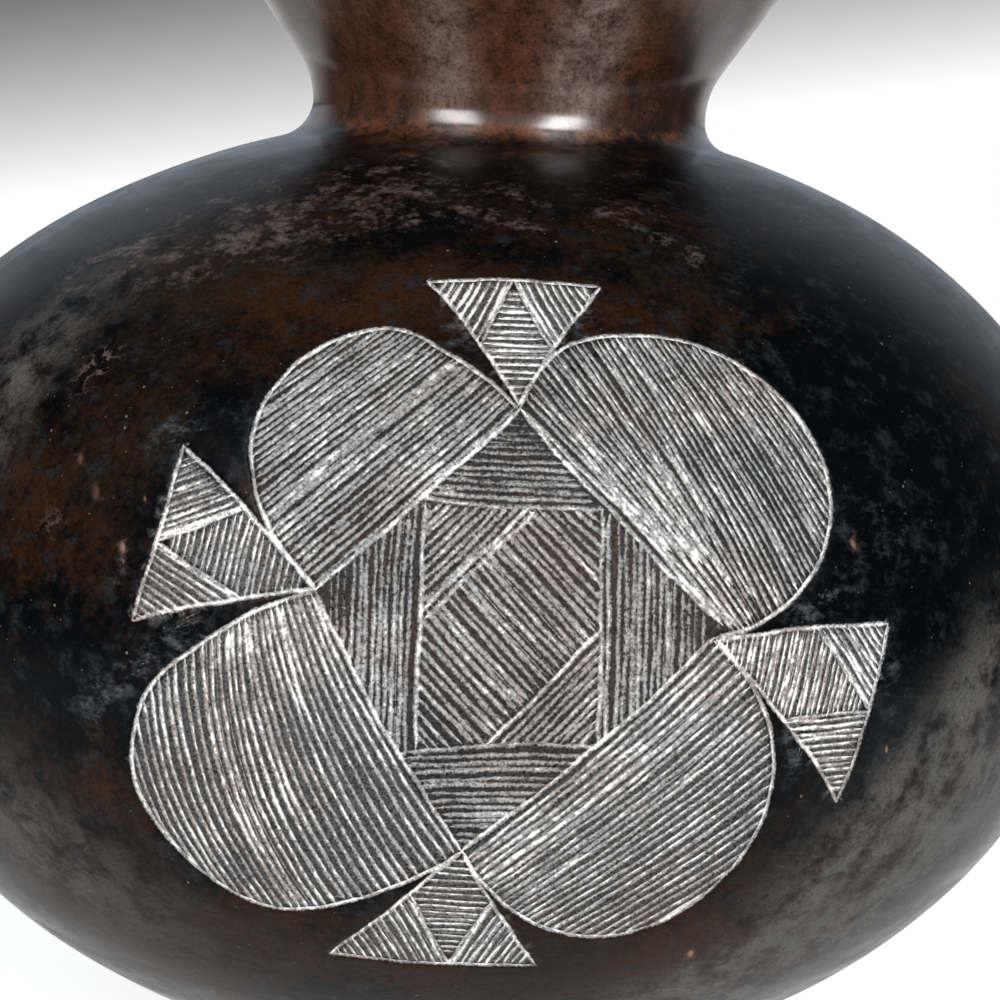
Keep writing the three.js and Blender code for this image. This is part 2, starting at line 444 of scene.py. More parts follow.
# The node tree of a finish, or of the room's light, as it is put together
class Finish:
    def __init__(self, owner):
        self.owner = owner
        owner.use_nodes = True
        self.tree = owner.node_tree
        self.tree.nodes.clear()
        self.places = self.node("ShaderNodeTexCoord").outputs
        self.spot = self.places["Object"]

    def node(self, kind, inputs=None, **settings):
        made = self.tree.nodes.new(kind)
        for key, value in settings.items():
            setattr(made, key, value)
        for key, value in (inputs or {}).items():
            if isinstance(value, bpy.types.NodeSocket):
                self.tree.links.new(value, made.inputs[key])
            else:
                made.inputs[key].default_value = value
        return made

    # Where a pattern is looked up, so that its patches are about this many millimetres long
    def scaled(self, patch, stretch=(1, 1, 1), shift=(0, 0, 0)):
        scale = [1 / (patch * MM * s) for s in stretch]
        inputs = {"Vector": self.spot, "Location": shift, "Scale": scale}
        return self.node("ShaderNodeMapping", inputs).outputs[0]

    # Soft cloudy noise whose patches are stretched along each axis
    def clouds(self, patch, detail=4.0, rough=0.55, stretch=(1, 1, 1), shift=(0, 0, 0), warp=0.0):
        inputs = {"Vector": self.scaled(patch, stretch, shift), "Scale": 1.0}
        inputs |= {"Detail": detail, "Roughness": rough, "Distortion": warp}
        return self.node("ShaderNodeTexNoise", inputs).outputs["Fac"]

    # Scattered grains, one in a share of all cells of this size, each reaching this far in its cell
    def grains(self, cell, share, reach):
        cells = self.node("ShaderNodeTexVoronoi", {"Vector": self.scaled(cell), "Scale": 1.0}).outputs
        lot = self.node("ShaderNodeSeparateColor", {0: cells["Color"]}).outputs[0]
        chosen = self.sum("LESS_THAN", lot, share)
        return self.times(chosen, self.fade(cells["Distance"], reach, 0.5 * reach))

    # Rises smoothly from 0 to 1 as a value goes from low to high
    def fade(self, value, low, high):
        inputs = {"Value": value, "From Min": low, "From Max": high}
        return self.node("ShaderNodeMapRange", inputs, interpolation_type="SMOOTHSTEP").outputs[0]

    def sum(self, operation, *values):
        return self.node("ShaderNodeMath", dict(enumerate(values)), operation=operation).outputs[0]

    def times(self, first, *others):
        for other in others:
            first = self.sum("MULTIPLY", first, other)
        return first

    # A value moved up and down by this much of a pattern about its middle
    def stirred(self, value, pattern, share):
        return self.sum("MULTIPLY_ADD", self.sum("SUBTRACT", pattern, 0.5), share, value)

    # One value passing into another, and one colour into another
    def mixed(self, first, second, share):
        inputs = {0: share, 2: first, 3: second}
        return self.node("ShaderNodeMix", inputs, data_type="FLOAT").outputs[0]

    def blend(self, share, first, second):
        inputs = {0: share, 6: first, 7: second}
        return self.node("ShaderNodeMix", inputs, data_type="RGBA").outputs[2]

    def point_value(self, label):
        return self.node("ShaderNodeAttribute", attribute_name=label).outputs["Fac"]

    def done(self, shader_inputs):
        shader = self.node("ShaderNodeBsdfPrincipled", shader_inputs)
        self.node("ShaderNodeOutputMaterial", {"Surface": shader.outputs[0]})
        return self.owner


# Colours of the burnished outside, of the marks and the painted sheen on it, and of the clay and the white
# in its lines
SOOT = (0.0016, 0.0020, 0.0026, 1)
SOOT_GREY = (0.021, 0.025, 0.028, 1)
SMOKED_BROWN = (0.034, 0.0140, 0.0062, 1)
SMOKED_OLIVE = (0.022, 0.0130, 0.0070, 1)
NECK_BROWN = (0.094, 0.034, 0.016, 1)
NECK_UPPER = (0.108, 0.045, 0.025, 1)
NECK_DARK = (0.021, 0.0085, 0.0045, 1)
# Rust, also used for the painted highlight line along the fillet
NECK_RUST_AND_HIGHLIGHT = (0.150, 0.052, 0.023, 1)
# Pale colour of the painted sheen bands up the neck
NECK_PAINTED_SHEEN = (0.270, 0.200, 0.180, 1)
SCUFF_MAUVE = (0.150, 0.108, 0.098, 1)
SMEAR_GREY = (0.115, 0.125, 0.135, 1)
# Colour of the painted sheen at the sides
PAINTED_SHEEN_GREY = (0.130, 0.127, 0.119, 1)
SPECK_PALE = (0.34, 0.26, 0.21, 1)
BARE_ORANGE = (0.42, 0.22, 0.15, 1)
CHALK_WHITE = (0.92, 0.91, 0.89, 1)
CHALK_GREY = (0.39, 0.39, 0.385, 1)
CHALK_ROSE = (0.39, 0.335, 0.31, 1)
CHALK_DARK = (0.15, 0.145, 0.14, 1)

burnish = Finish(bpy.data.materials.new("burnished_clay"))
height = burnish.node("ShaderNodeSeparateXYZ", {0: burnish.spot}).outputs["Z"]

# Black soot with brown clouds over the body, broken up by fine mottles, some of them grey
clouds = burnish.clouds(80, detail=4, rough=0.55, warp=0.5)
mottles = burnish.clouds(9, detail=6, rough=0.7)
pores = burnish.clouds(1.7, detail=3, rough=0.65)
cloudy = burnish.sum("ADD", burnish.mixed(clouds, mottles, 0.45), burnish.point_value("brown"))
cloudy = burnish.stirred(cloudy, pores, 0.3)
olive = burnish.fade(burnish.clouds(36, detail=3, shift=(4, 4, 1)), 0.45, 0.62)
brown = burnish.blend(olive, SMOKED_BROWN, SMOKED_OLIVE)
body_colour = burnish.blend(burnish.fade(cloudy, 0.42, 0.68), SOOT, brown)
greyed = burnish.fade(burnish.clouds(6, detail=8, rough=0.75, shift=(8, 5, 1)), 0.50, 0.68)
body_colour = burnish.blend(burnish.times(greyed, 0.85), body_colour, SOOT_GREY)

# Pale scuffs on the shoulder, dragged out sideways by the rubbing
scuff_and_sheen = burnish.point_value("scuff_and_sheen")
drags = burnish.clouds(6, detail=8, rough=0.72, stretch=(1.6, 1.6, 0.8))
drags = burnish.stirred(burnish.sum("MULTIPLY_ADD", scuff_and_sheen, 0.09, drags), pores, 0.35)
scuffed = burnish.times(burnish.fade(drags, 0.56, 0.78), burnish.fade(scuff_and_sheen, 0.0, 0.5))
body_colour = burnish.blend(scuffed, body_colour, SCUFF_MAUVE)

# Dried rings of spilt drops, grey smears of the white beside the figure, and a painted grey sheen at the
# sides, standing in for the reflection of the pale floor and backdrop
drops = burnish.sum("SUBTRACT", burnish.clouds(4, detail=4, rough=0.6), 0.5)
drops = burnish.fade(burnish.sum("ABSOLUTE", drops), 0.05, 0.0)
stain = burnish.fade(burnish.point_value("stain"), 0.1, 0.8)
body_colour = burnish.blend(burnish.times(drops, stain, 0.9), body_colour, SCUFF_MAUVE)
smear = burnish.point_value("smear")
wisps = burnish.clouds(3, detail=6, rough=0.75, stretch=(1.6, 1, 0.8), shift=(2, 6, 3))
wisps = burnish.fade(burnish.sum("MULTIPLY_ADD", smear, 0.10, wisps), 0.52, 0.76)
wisps = burnish.times(wisps, burnish.fade(smear, 0.0, 0.8), 0.7)
body_colour = burnish.blend(wisps, body_colour, SMEAR_GREY)
painted_side_sheen = burnish.fade(burnish.point_value("painted_side_sheen"), 0.0, 0.9)
painted_side_sheen = burnish.times(painted_side_sheen, burnish.fade(mottles, 0.36, 0.62), 0.85)
body_colour = burnish.blend(painted_side_sheen, body_colour, PAINTED_SHEEN_GREY)

# The neck is warmer and redder, with streaks up it, rust where it is thin, a broken rust-coloured line of
# painted highlight along the fillet, two pale bands of painted sheen up it, and a ragged lower edge
FILLET_RIDGE = 4.2
RIDGE_REACH = 2.0
RIDGE_LINE = 0.3
EDGE_RAGGED = 30.0


# Rises from 0 to 1 between two heights above the neck's narrowest ring
def up_the_neck(level, start, end):
    return burnish.fade(level, (neck_height + start) * MM, (neck_height + end) * MM)


streaks = burnish.clouds(5, detail=5, rough=0.65, stretch=(1, 1, 4))
neck_clouds = burnish.stirred(burnish.mixed(streaks, mottles, 0.4), pores, 0.3)
neck_clouds = burnish.sum("ADD", neck_clouds, burnish.point_value("brown"))
neck_colour = burnish.blend(up_the_neck(height, 4, 26), NECK_BROWN, NECK_UPPER)
neck_colour = burnish.blend(burnish.fade(neck_clouds, 0.28, 0.68), NECK_DARK, neck_colour)
# A broken rust-coloured line of painted highlight along the fillet, where the neck meets the shoulder
painted_ridge_highlight = burnish.sum("SUBTRACT", height, (neck_height - FILLET_RIDGE) * MM)
painted_ridge_highlight = burnish.fade(burnish.sum("ABSOLUTE", painted_ridge_highlight), RIDGE_REACH * MM, RIDGE_LINE * MM)
painted_ridge_highlight = burnish.times(painted_ridge_highlight, burnish.fade(mottles, 0.40, 0.60), 0.8)
rust_and_highlight = burnish.fade(burnish.clouds(10, detail=6, rough=0.75, shift=(3, 1, 7)), 0.54, 0.70)
rust_and_highlight = burnish.sum("MAXIMUM", burnish.times(rust_and_highlight, 0.5), painted_ridge_highlight)
neck_colour = burnish.blend(rust_and_highlight, neck_colour, NECK_RUST_AND_HIGHLIGHT)
# Two pale bands of painted sheen up the neck, where the scuff marks lie at its height
painted_sheen_bands = burnish.times(burnish.fade(scuff_and_sheen, 0.05, 0.9), burnish.fade(neck_clouds, 0.26, 0.70), 0.92)
neck_colour = burnish.blend(painted_sheen_bands, neck_colour, NECK_PAINTED_SHEEN)
ragged = burnish.sum("MULTIPLY_ADD", mottles, EDGE_RAGGED * MM, height)
clay_colour = burnish.blend(up_the_neck(ragged, 5, 13), body_colour, neck_colour)

# Small pale specks where the soot has worn off grains in the clay, a few of them bright, and dark pits
grain = burnish.clouds(0.8, detail=3, rough=0.7)
specks = burnish.times(burnish.fade(grain, 0.58, 0.80), 0.02)
clay_colour = burnish.blend(specks, clay_colour, SPECK_PALE)
pits = burnish.times(burnish.fade(grain, 0.52, 0.36), 0.5)
clay_colour = burnish.blend(pits, clay_colour, SOOT)
small_grains = burnish.times(burnish.grains(1.7, 0.1, 0.15), 0.6)
bright = burnish.sum("MAXIMUM", burnish.grains(3.2, 0.06, 0.13), small_grains)
clay_colour = burnish.blend(burnish.times(bright, 0.5), clay_colour, SPECK_PALE)

# White kaolin rubbed into the incised lines: bright flecks in greyer fill, broken at the edges, with
# a grey dust of it in the pores between them
chalk = burnish.point_value("chalk")
dust = burnish.point_value("dust")
bare = burnish.point_value("bare")
crumbs = burnish.clouds(0.55, detail=2, rough=0.6, shift=(5, 2, 9))
grit = burnish.clouds(0.7, detail=2, rough=0.6, shift=(1, 8, 4))
worn = burnish.clouds(14, detail=5, rough=0.65, shift=(7, 3, 2))
packed = burnish.stirred(burnish.stirred(chalk, grain, 1.1), crumbs, 0.5)
packed = burnish.stirred(packed, worn, 0.9)
filled = burnish.times(burnish.fade(packed, 0.03, 0.50), burnish.fade(chalk, 0.0, 0.10))
packed_white = burnish.stirred(burnish.point_value("fleck"), crumbs, 1.3)
packed_white = burnish.stirred(packed_white, worn, 1.2)
rosy = burnish.fade(burnish.clouds(30, detail=2), 0.46, 0.62)
fill_colour = burnish.blend(rosy, CHALK_GREY, CHALK_ROSE)
fill_colour = burnish.blend(burnish.fade(grit, 0.32, 0.58), CHALK_DARK, fill_colour)
fill_colour = burnish.blend(burnish.fade(packed_white, 0.30, 0.86), fill_colour, CHALK_WHITE)
smeared = burnish.times(dust, burnish.fade(crumbs, 0.22, 0.80), 0.14)
colour = burnish.blend(smeared, clay_colour, CHALK_GREY)
colour = burnish.blend(filled, colour, fill_colour)
colour = burnish.blend(bare, colour, BARE_ORANGE)

# Polished in bands where the pebble has rubbed round the pot, duller in the mottles, and matt where the
# white lies. From the fillet up, hands have rubbed a second and brighter gloss over it.
POLISHED = 0.20
DULLED = 0.34
CHALK_MATT = 0.85
HAND_GLOSS = 0.42
GLOSS_START = fillet_foot[1] - 1.0
rubbed = burnish.clouds(7, detail=4, rough=0.6, stretch=(7, 7, 1))
dulled = burnish.fade(burnish.mixed(mottles, rubbed, 0.5), 0.32, 0.68)
matt = burnish.sum("MAXIMUM", filled, burnish.times(dust, 0.75))
roughness = burnish.mixed(burnish.mixed(POLISHED, DULLED, dulled), CHALK_MATT, matt)
dents = burnish.sum("MULTIPLY_ADD", rubbed, 2.0, burnish.clouds(2.5, detail=6, rough=0.6))
relief = burnish.node("ShaderNodeBump", {"Height": dents, "Strength": 0.14, "Distance": 0.4 * MM})
hand_rubbed = burnish.fade(height, GLOSS_START * MM, (neck_height - FILLET_RIDGE) * MM)
burnished_clay = burnish.done(
    {
        "Base Color": colour,
        "Roughness": roughness,
        "Normal": relief.outputs[0],
        "Specular IOR Level": 0.05,
        "Specular Tint": (0.84, 0.93, 1.0, 1),
        "Coat Weight": burnish.times(hand_rubbed, HAND_GLOSS),
        "Coat Roughness": 0.25,
        "Coat IOR": 2.0,
    }
)

# The inside and the bevels are only wiped: a dull dark brown with a fine grain
WIPED_DARK = (0.030, 0.017, 0.012, 1)
WIPED_BROWN = (0.085, 0.044, 0.028, 1)
wipe = Finish(bpy.data.materials.new("wiped_clay"))
wiped_clouds = wipe.clouds(24, detail=6, rough=0.65, stretch=(1, 1, 0.4))
wiped_grain = wipe.clouds(1.6, detail=5, rough=0.7)
wiped_bump = wipe.node("ShaderNodeBump", {"Height": wiped_grain, "Strength": 0.35, "Distance": 0.6 * MM})
wiped_clay = wipe.done(
    {
        "Base Color": wipe.blend(wipe.fade(wiped_clouds, 0.3, 0.7), WIPED_DARK, WIPED_BROWN),
        "Roughness": 0.8,
        "Normal": wiped_bump.outputs[0],
        "Specular IOR Level": 0.3,
    }
)
clays = (burnished_clay, wiped_clay)

# The longest steps between rings: up the body outside and inside, and over the seat and the floor. The
# maps say which part of the flat map the seat's centre, the bevel and the floor's centre take.
BODY_ROW = 4.0
INSIDE_ROW = 5.0
SEAT_ROW = 12.0
FLOOR_ROW = 10.0
CORNER_STEPS = 6
SEAT_CENTRE = 12.0
FLOOR_CENTRE = 8.0
FLOOR_EDGE = 14.0
LOW_WALL = 60.0
LOW_WALL_STEPS = 200
SEAT_CENTRE_MAP = (0.06, 0.0)
DISH_BEVEL_MAP = (0.08, 0.14)
FLOOR_CENTRE_MAP = (0.94, 1.0)

dish = ClayPiece()
seat_flat = SEAT_RADIUS - SEAT_EDGE
edge_radius, edge_height, _, _ = wall(SEAT_EDGE)
seat = [turned_ring(dish, radius, 0.0, 0.0, -1.0) for radius in spaced(SEAT_CENTRE, seat_flat, SEAT_ROW)]
seat_corner = rounded_rings(
    dish, (seat_flat, 0.0), (SEAT_RADIUS, 0.0), (edge_radius, edge_height), CORNER_STEPS
)
dish_wall = [outside_ring(dish, along) for along in spaced(SEAT_EDGE, DISH_WALL, BODY_ROW)]
seat_rings = seat[:-1] + seat_corner[:-1] + dish_wall
dish.close(seat_rings[0], 0.0, SEAT_CENTRE_MAP, BURNISHED, centre_last=False)
dish.join_rings(seat_rings, np.linspace(0, 1, len(seat_rings)), BURNISHED)

# The inside runs down the wall, rounds into the level floor and ends on the axis
low_wall = np.linspace(0, LOW_WALL, LOW_WALL_STEPS)
lowest = np.interp(FLOOR + FLOOR_EDGE, inside(0.0, low_wall)[:, 2], low_wall)
dish_inside = [inside_ring(dish, along) for along in spaced(DISH_WALL + BEVEL, lowest, INSIDE_ROW)]
last_radius, last_height, last_out, last_up = wall(lowest)
floor_start = (last_radius - thickness(lowest) * last_out, last_height - thickness(lowest) * last_up)
floor_corner = (floor_start[0] - FLOOR_EDGE * last_up / -last_out, FLOOR)
floor_end = (floor_corner[0] - FLOOR_EDGE, FLOOR)
floor_rings = rounded_rings(dish, floor_start, floor_corner, floor_end, CORNER_STEPS)[1:]
for radius in spaced(floor_end[0], FLOOR_CENTRE, FLOOR_ROW)[1:]:
    floor_rings.append(turned_ring(dish, radius, FLOOR, 0.0, 1.0))
floor_rings = dish_inside + floor_rings
floor_map = np.linspace(DISH_BEVEL_MAP[1], FLOOR_CENTRE_MAP[0], len(floor_rings))
dish.lace(dish_wall[-1][0], dish_inside[0][0], DISH_BEVEL_MAP, WIPED)
dish.join_rings(floor_rings, floor_map, WIPED)
dish.close(floor_rings[-1], FLOOR, FLOOR_CENTRE_MAP, WIPED, centre_last=True)
dish.make("base_dish", clays)

# The six courses of the body: broad straps of clay, each bevelled and luted on the one below, then
# beaten and burnished until no joint shows. While the clay is leather-hard the figure on the front is
# incised with a pointed stick, and after firing white kaolin is rubbed into its lines.

WALL_COURSES = 6
CARVED_COURSES = 5
course_height = (body_length - DISH_WALL) / WALL_COURSES
joints = [DISH_WALL + course * course_height for course in range(WALL_COURSES + 1)]

# The figure is drawn on the wall laid flat: millimetres to the right of the front, at the belly's girth,
# and millimetres along the wall above the belly.
LINE_WIDTH = 1.4
LINE_DEPTH = 0.42
HATCH_WIDTH = 1.36
HATCH_DEPTH = 0.32
STROKE_STEP = 0.7
CURVE_STEPS = 40
END_TAPER = 1.4
FLECK_LENGTH = 0.9
FILL_LENGTH = 4.5

hand = np.random.default_rng(41)
strokes = []


# A smooth line through a few points, in even steps
def drawn(points, step):
    points = np.array(points, float)
    if len(points) > 2:
        knots = np.append(0, np.cumsum(np.linalg.norm(np.diff(points, axis=0), axis=1)))
        slopes = np.gradient(points, knots, axis=0, edge_order=2)
        fine = []
        for k in range(len(points) - 1):
            gap = knots[k + 1] - knots[k]
            t = np.linspace(0, 1, CURVE_STEPS, endpoint=k == len(points) - 2)[:, None]
            fine.append(
                (2 * t**3 - 3 * t**2 + 1) * points[k]
                + (t**3 - 2 * t**2 + t) * gap * slopes[k]
                + (3 * t**2 - 2 * t**3) * points[k + 1]
                + (t**3 - t**2) * gap * slopes[k + 1]
            )
        points = np.concatenate(fine)
    length = np.append(0, np.cumsum(np.linalg.norm(np.diff(points, axis=0), axis=1)))
    even = spaced(0, length[-1], step)
    return np.stack([np.interp(even, length, points[:, k]) for k in (0, 1)], axis=1)


# One millimetre to the left of a stroke, at each of its points, on a wall that narrows above and below
# the belly
def to_left(points):
    narrow = wall(belly_along + points[:, 1])[0] / BELLY_RADIUS
    ahead = np.gradient(points, axis=0)
    ahead[:, 0] *= narrow
    ahead /= np.linalg.norm(ahead, axis=1, keepdims=True)
    return np.stack([-ahead[:, 1] / narrow, ahead[:, 0]], axis=1)


# Uneven amounts between two limits along a stroke, that change over some length
def uneven(run, length, least, most):
    knots = np.arange(0, run[-1] + 2 * length, length)
    return np.interp(run, knots, hand.uniform(least, most, len(knots)))


# One stroke of the pointed stick: it wanders a little, and is shallow and narrow at its ends. The white
# packs into it unevenly, with brighter flecks. Where it chips the skin, clay lies bare along its middle.
def score(
    points, width=LINE_WIDTH, depth=LINE_DEPTH, chalk=1.0, fleck=(0.3, 1.15), dust=0.0, bare=0.0,
    wander=0.16, tapers=END_TAPER,
):
    line = drawn(points, STROKE_STEP)
    run = STROKE_STEP * np.arange(len(line))
    slow, quick = hand.uniform(0, 2 * math.pi, 2)
    sway = wander * (np.sin(run / 4.5 + slow) + 0.5 * np.sin(run / 1.7 + quick))
    line = line + to_left(line) * sway[:, None]
    taper = np.clip(np.minimum(run, run[-1] - run) / tapers, 0.3, 1)
    swell = uneven(run, FLECK_LENGTH, 0.8, 1.15)
    white = chalk * uneven(run, FILL_LENGTH, 0.7, 1.1)
    strokes.append({
        "line": line,
        "half_width": width / 2 * taper * swell,
        "depth": depth * taper * swell,
        "chalk": white,
        "fleck": white * uneven(run, FLECK_LENGTH, *fleck),
        "dust": np.full(len(line), dust),
        "bare": bare * np.sin(np.linspace(0, math.pi, len(line))),
    })


# Which points lie in a field: those with an odd number of its edges to the right of them
def within(points, field):
    x, y = points.T
    crossings = np.zeros(len(points), int)
    for (x0, y0), (x1, y1) in zip(field, np.roll(field, -1, axis=0)):
        spans = (y0 > y) != (y1 > y)
        if y0 != y1:
            crossings += spans & (x < x0 + (y - y0) * (x1 - x0) / (y1 - y0))
    return crossings % 2 == 1


# Fills a field with strokes that pass evenly from the first guide to the last, and with a faint line of
# the tool's edge between some of them. Guides have as many points each, and their shares say how far
# through the field each one comes. A stroke stops where it would come too close to the ones before it.
FAINT_WIDTH = 0.42
FAINT_DEPTH = 0.1
FAINT_SHARE = 0.2
FAINT_WHITE = 0.6
HATCH_STEP = 0.25
HATCH_JITTER = 0.12
FEWEST_STEPS = 8
STROKES_BEFORE = 3


def hatch(
    field, guides, count, shares=None, chalk=0.8, fleck=(0.0, 1.0), dust=1.0,
    width=HATCH_WIDTH, closest=1.0,
):
    field = np.array(field, float)
    guides = np.array(guides, float)
    shares = np.linspace(0, 1, len(guides)) if shares is None else shares
    earlier = []
    for half_stroke in range(2 * count - 1):
        faint = half_stroke % 2 == 1
        share = (0.5 + half_stroke / 2 + hand.uniform(-HATCH_JITTER, HATCH_JITTER)) / count
        points = np.array([
            [np.interp(share, shares, guides[:, point, axis]) for axis in (0, 1)]
            for point in range(guides.shape[1])
        ])
        before, after = points[0] - (points[1] - points[0]), points[-1] + (points[-1] - points[-2])
        line = drawn(np.concatenate([[before], points, [after]]), HATCH_STEP)
        free = within(line, field)
        for other in () if faint else earlier[-STROKES_BEFORE:]:
            free &= np.linalg.norm(line[:, None] - other, axis=2).min(axis=1) > closest
        kept = np.flatnonzero(free)
        kept = max(np.split(kept, np.flatnonzero(np.diff(kept) > 1) + 1), key=len)
        trim_start, trim_end = hand.integers(0, 4, 2)
        kept = kept[trim_start : len(kept) - trim_end]
        if len(kept) <= FEWEST_STEPS or (faint and hand.uniform() > FAINT_SHARE):
            continue
        ends = [line[kept[0]], line[kept[len(kept) // 2]], line[kept[-1]]]
        if faint:
            white = FAINT_WHITE * chalk
            score(ends, FAINT_WIDTH, FAINT_DEPTH, white, fleck=(-0.5, 0.6), dust=dust, wander=0.1)
        else:
            earlier.append(line[kept])
            white = chalk * hand.uniform(0.75, 1.15)
            score(ends, width * hand.uniform(0.85, 1.12), HATCH_DEPTH, white, fleck, dust, wander=0.12)


# The square that stands on a corner, and the square set in it
square_top, square_right = (9.5, 51), (51, 4.5)
square_bottom, square_left = (2, -42), (-29.5, 11.5)
inner_top_left, inner_top_right = (-10.5, 30.5), (27.5, 30)
inner_bottom_right, inner_bottom_left = (28, -17.5), (-9.5, -19.5)
slant_upper, slant_left = (12, 30), (-8.3, 8.5)
slant_right, slant_lower = (27.3, 6), (6, -17.5)
for line, chalk in (
    ([square_top, (-17.5, 23.5), square_left], 1.0),
    ([square_top, (28.5, 33), (52.5, 7)], 1.0),
    ([(10.5, 49.5), (25.5, 33.5), (50.5, 8.5)], 0.8),
    ([square_left, (-15.5, -14), square_bottom], 1.0),
    ([square_bottom, (30.5, -15), square_right], 1.0),
    ([(-11, 31), (10, 30), (27.5, 30)], 0.6),
    ([(-9, 30), (-8.5, 10), (-8.5, -19)], 0.85),
    ([(27.3, 30), (27.4, 5.5), (28.3, -17)], 0.6),
    ([(28.8, 29), (28.8, 5.5), (29.6, -16)], 0.6),
    ([(-12, -20.5), (4.5, -18), (28, -17.5)], 0.6),
    ([slant_upper, slant_left], 0.9),
    ([(13, 29), (-7.6, 7.2)], 0.65),
    ([slant_right, slant_lower], 1.0),
):
    score(line, chalk=chalk, dust=1.0)

# Hatching of the square's corners runs with the sides of the inner square, and hatching of the inner
# square with its two slanting lines and across the band between them
hatch(
    [square_top, inner_top_right, inner_top_left],
    [[(-8, 49.5), (26, 49.5)], [(-8, 31.2), (26, 30.6)]], 12, chalk=0.42,
)
hatch(
    [square_bottom, (-11.6, -20.6), inner_bottom_right],
    [[(-8, -40.5), (8, -40), (24, -39.5)], [(-9, -20.5), (6, -19.2), (27, -18.7)]], 13, chalk=0.72,
)
hatch(
    [square_left, (-15.5, -14.2), (-11.2, -21.2), inner_bottom_left, inner_top_left],
    [[(-28, 28), (-26, -16)], [(-10, 28), (-9.8, -16)]], 12, chalk=0.6,
)
hatch(
    [square_right, (50.3, 8), (28, 31), inner_bottom_right],
    [[(49, 28), (49, -16)], [(30, 28), (30.5, -16)]], 13, chalk=0.65,
)
hatch(
    [inner_top_left, slant_upper, slant_left],
    [[(-8.5, 28.5), (-6.5, 30.5)], [(-7.5, 10), (10.5, 29.5)]], 9, chalk=0.75,
)
hatch(
    [inner_bottom_right, slant_lower, slant_right],
    [[(26, -16.5), (28, -14.5)], [(8, -17), (27, 4)]], 9, chalk=0.72,
)
hatch(
    [slant_upper, inner_top_right, slant_right, slant_lower, inner_bottom_left, slant_left],
    [
        [(24.5, 30.3), (27.5, 28.3)],
        [(9.5, 25.5), (27, 8)],
        [(-8, 7), (9, -10.5)],
        [(-8.5, -17.5), (-7, -19)],
    ],
    33, shares=(0, 0.25, 0.71, 1), chalk=0.75,
)

# Four petals, each a round line from one corner of the square to the next, hatched along the square
PETAL_WIDTH = 1.3
PETAL_STEP = 2.0
petal_upper_left = [
    square_top, (-5, 62), (-22, 69.5), (-40.5, 63), (-49, 44), (-43, 27), square_left,
]
petal_upper_right = [
    square_top, (16, 63.5), (41.5, 70.5), (67.5, 61), (80.5, 38), (74.5, 18), square_right,
]
petal_lower_right = [
    square_right, (62, -8.5), (68, -27), (55, -58.5), (37, -66), (14.5, -58), square_bottom,
]
petal_lower_left = [
    square_left, (-50, 1), (-66, -14), (-70.5, -31), (-62, -50), (-43, -62), (-22, -57), square_bottom,
]
for petal in (petal_upper_left, petal_upper_right, petal_lower_right, petal_lower_left):
    score(petal, width=PETAL_WIDTH)
hatch(
    drawn(petal_upper_left, PETAL_STEP),
    [[(8.6, 50.6), (-29.2, 12.4)], [(-24, 79.5), (-57, 46.5)]], 28, chalk=0.85,
)
hatch(
    drawn(petal_upper_right, PETAL_STEP),
    [[(11, 52), (53, 8)], [(30.5, 68), (62.5, 8.5)], [(65, 72.5), (88, 27.5)]],
    36, shares=(0, 0.4, 1), chalk=0.9, fleck=(0.15, 1.2), width=1.16, closest=0.78,
)
hatch(
    drawn(petal_lower_right, PETAL_STEP),
    [[(3, -42.8), (50.8, 3.2)], [(21, -60), (64.5, -23)], [(37, -73.5), (73, -43.5)]],
    25, shares=(0, 0.61, 1), chalk=0.97, fleck=(0.2, 1.25), dust=2.4,
)
hatch(
    drawn(petal_lower_left, PETAL_STEP),
    [
        [(-29.6, 10.2), (-15.8, -15.2), (1.2, -42.3)],
        [(-47.5, 1.5), (-44.5, -26.5), (-32.5, -59.5)],
        [(-73, -15), (-71.5, -33), (-65, -52)],
    ],
    29, shares=(0, 0.55, 1), chalk=0.97, fleck=(0.2, 1.25), dust=2.4,
)


# A triangle with its point on a corner of the square. Two lines from the middle of its far edge part off
# its outer corners, which are hatched with those lines; the rest is hatched with the far edge.
TRIANGLE_WIDTH = 1.3
PARTING_WIDTH = 1.2
CORNER_GAP = 0.06
TRIANGLE_FLECK = (0.25, 1.3)
TRIANGLE_DUST = 2.8


def pointed_triangle(point, first_side, first, edge_middle, second, second_side, counts, chalk):
    score([point, first_side, first], TRIANGLE_WIDTH)
    score([first, edge_middle, second], TRIANGLE_WIDTH)
    score([second, second_side, point], TRIANGLE_WIDTH)
    score([edge_middle, first_side], PARTING_WIDTH, chalk=0.85)
    score([edge_middle, second_side], PARTING_WIDTH, chalk=0.85)
    point, first_side, first, edge_middle, second, second_side = map(
        np.array, (point, first_side, first, edge_middle, second, second_side)
    )
    for corner, side, count in ((first, first_side, counts[0]), (second, second_side, counts[2])):
        far = corner + (edge_middle - corner) * CORNER_GAP
        near = corner + (side - corner) * CORNER_GAP
        hatch(
            [corner, side, edge_middle], [[far, near], [edge_middle, side]], count,
            chalk=chalk, fleck=TRIANGLE_FLECK, dust=TRIANGLE_DUST, width=1.15, closest=0.9,
        )
    reach = (second - first) / 4
    hatch(
        [point, first_side, edge_middle, second_side],
        [[point - reach, point + reach], [edge_middle - reach, edge_middle + reach]], counts[1],
        chalk=chalk, fleck=TRIANGLE_FLECK, dust=TRIANGLE_DUST, width=1.1, closest=0.75,
    )


for corners, counts, chalk in (
    (((9, 52), (-0.8, 67), (-17, 84), (6.5, 85.5), (31, 84.3), (17, 66)), (9, 19, 10), 1.6),
    (((-29.5, 11.5), (-46.5, 26.5), (-64, 38.5), (-65, 18.3), (-68.5, 2), (-45, 8.7)), (12, 24, 10), 0.88),
    (((51, 4), (74.5, 6), (92.5, 6), (89.3, -12), (86, -32), (68, -12.5)), (10, 32, 13), 1.35),
    (((2, -42), (-9.3, -54.5), (-30.5, -76), (0, -76.5), (22.5, -76), (9, -55.5)), (13, 19, 10), 1.2),
):
    pointed_triangle(*corners, counts, chalk)

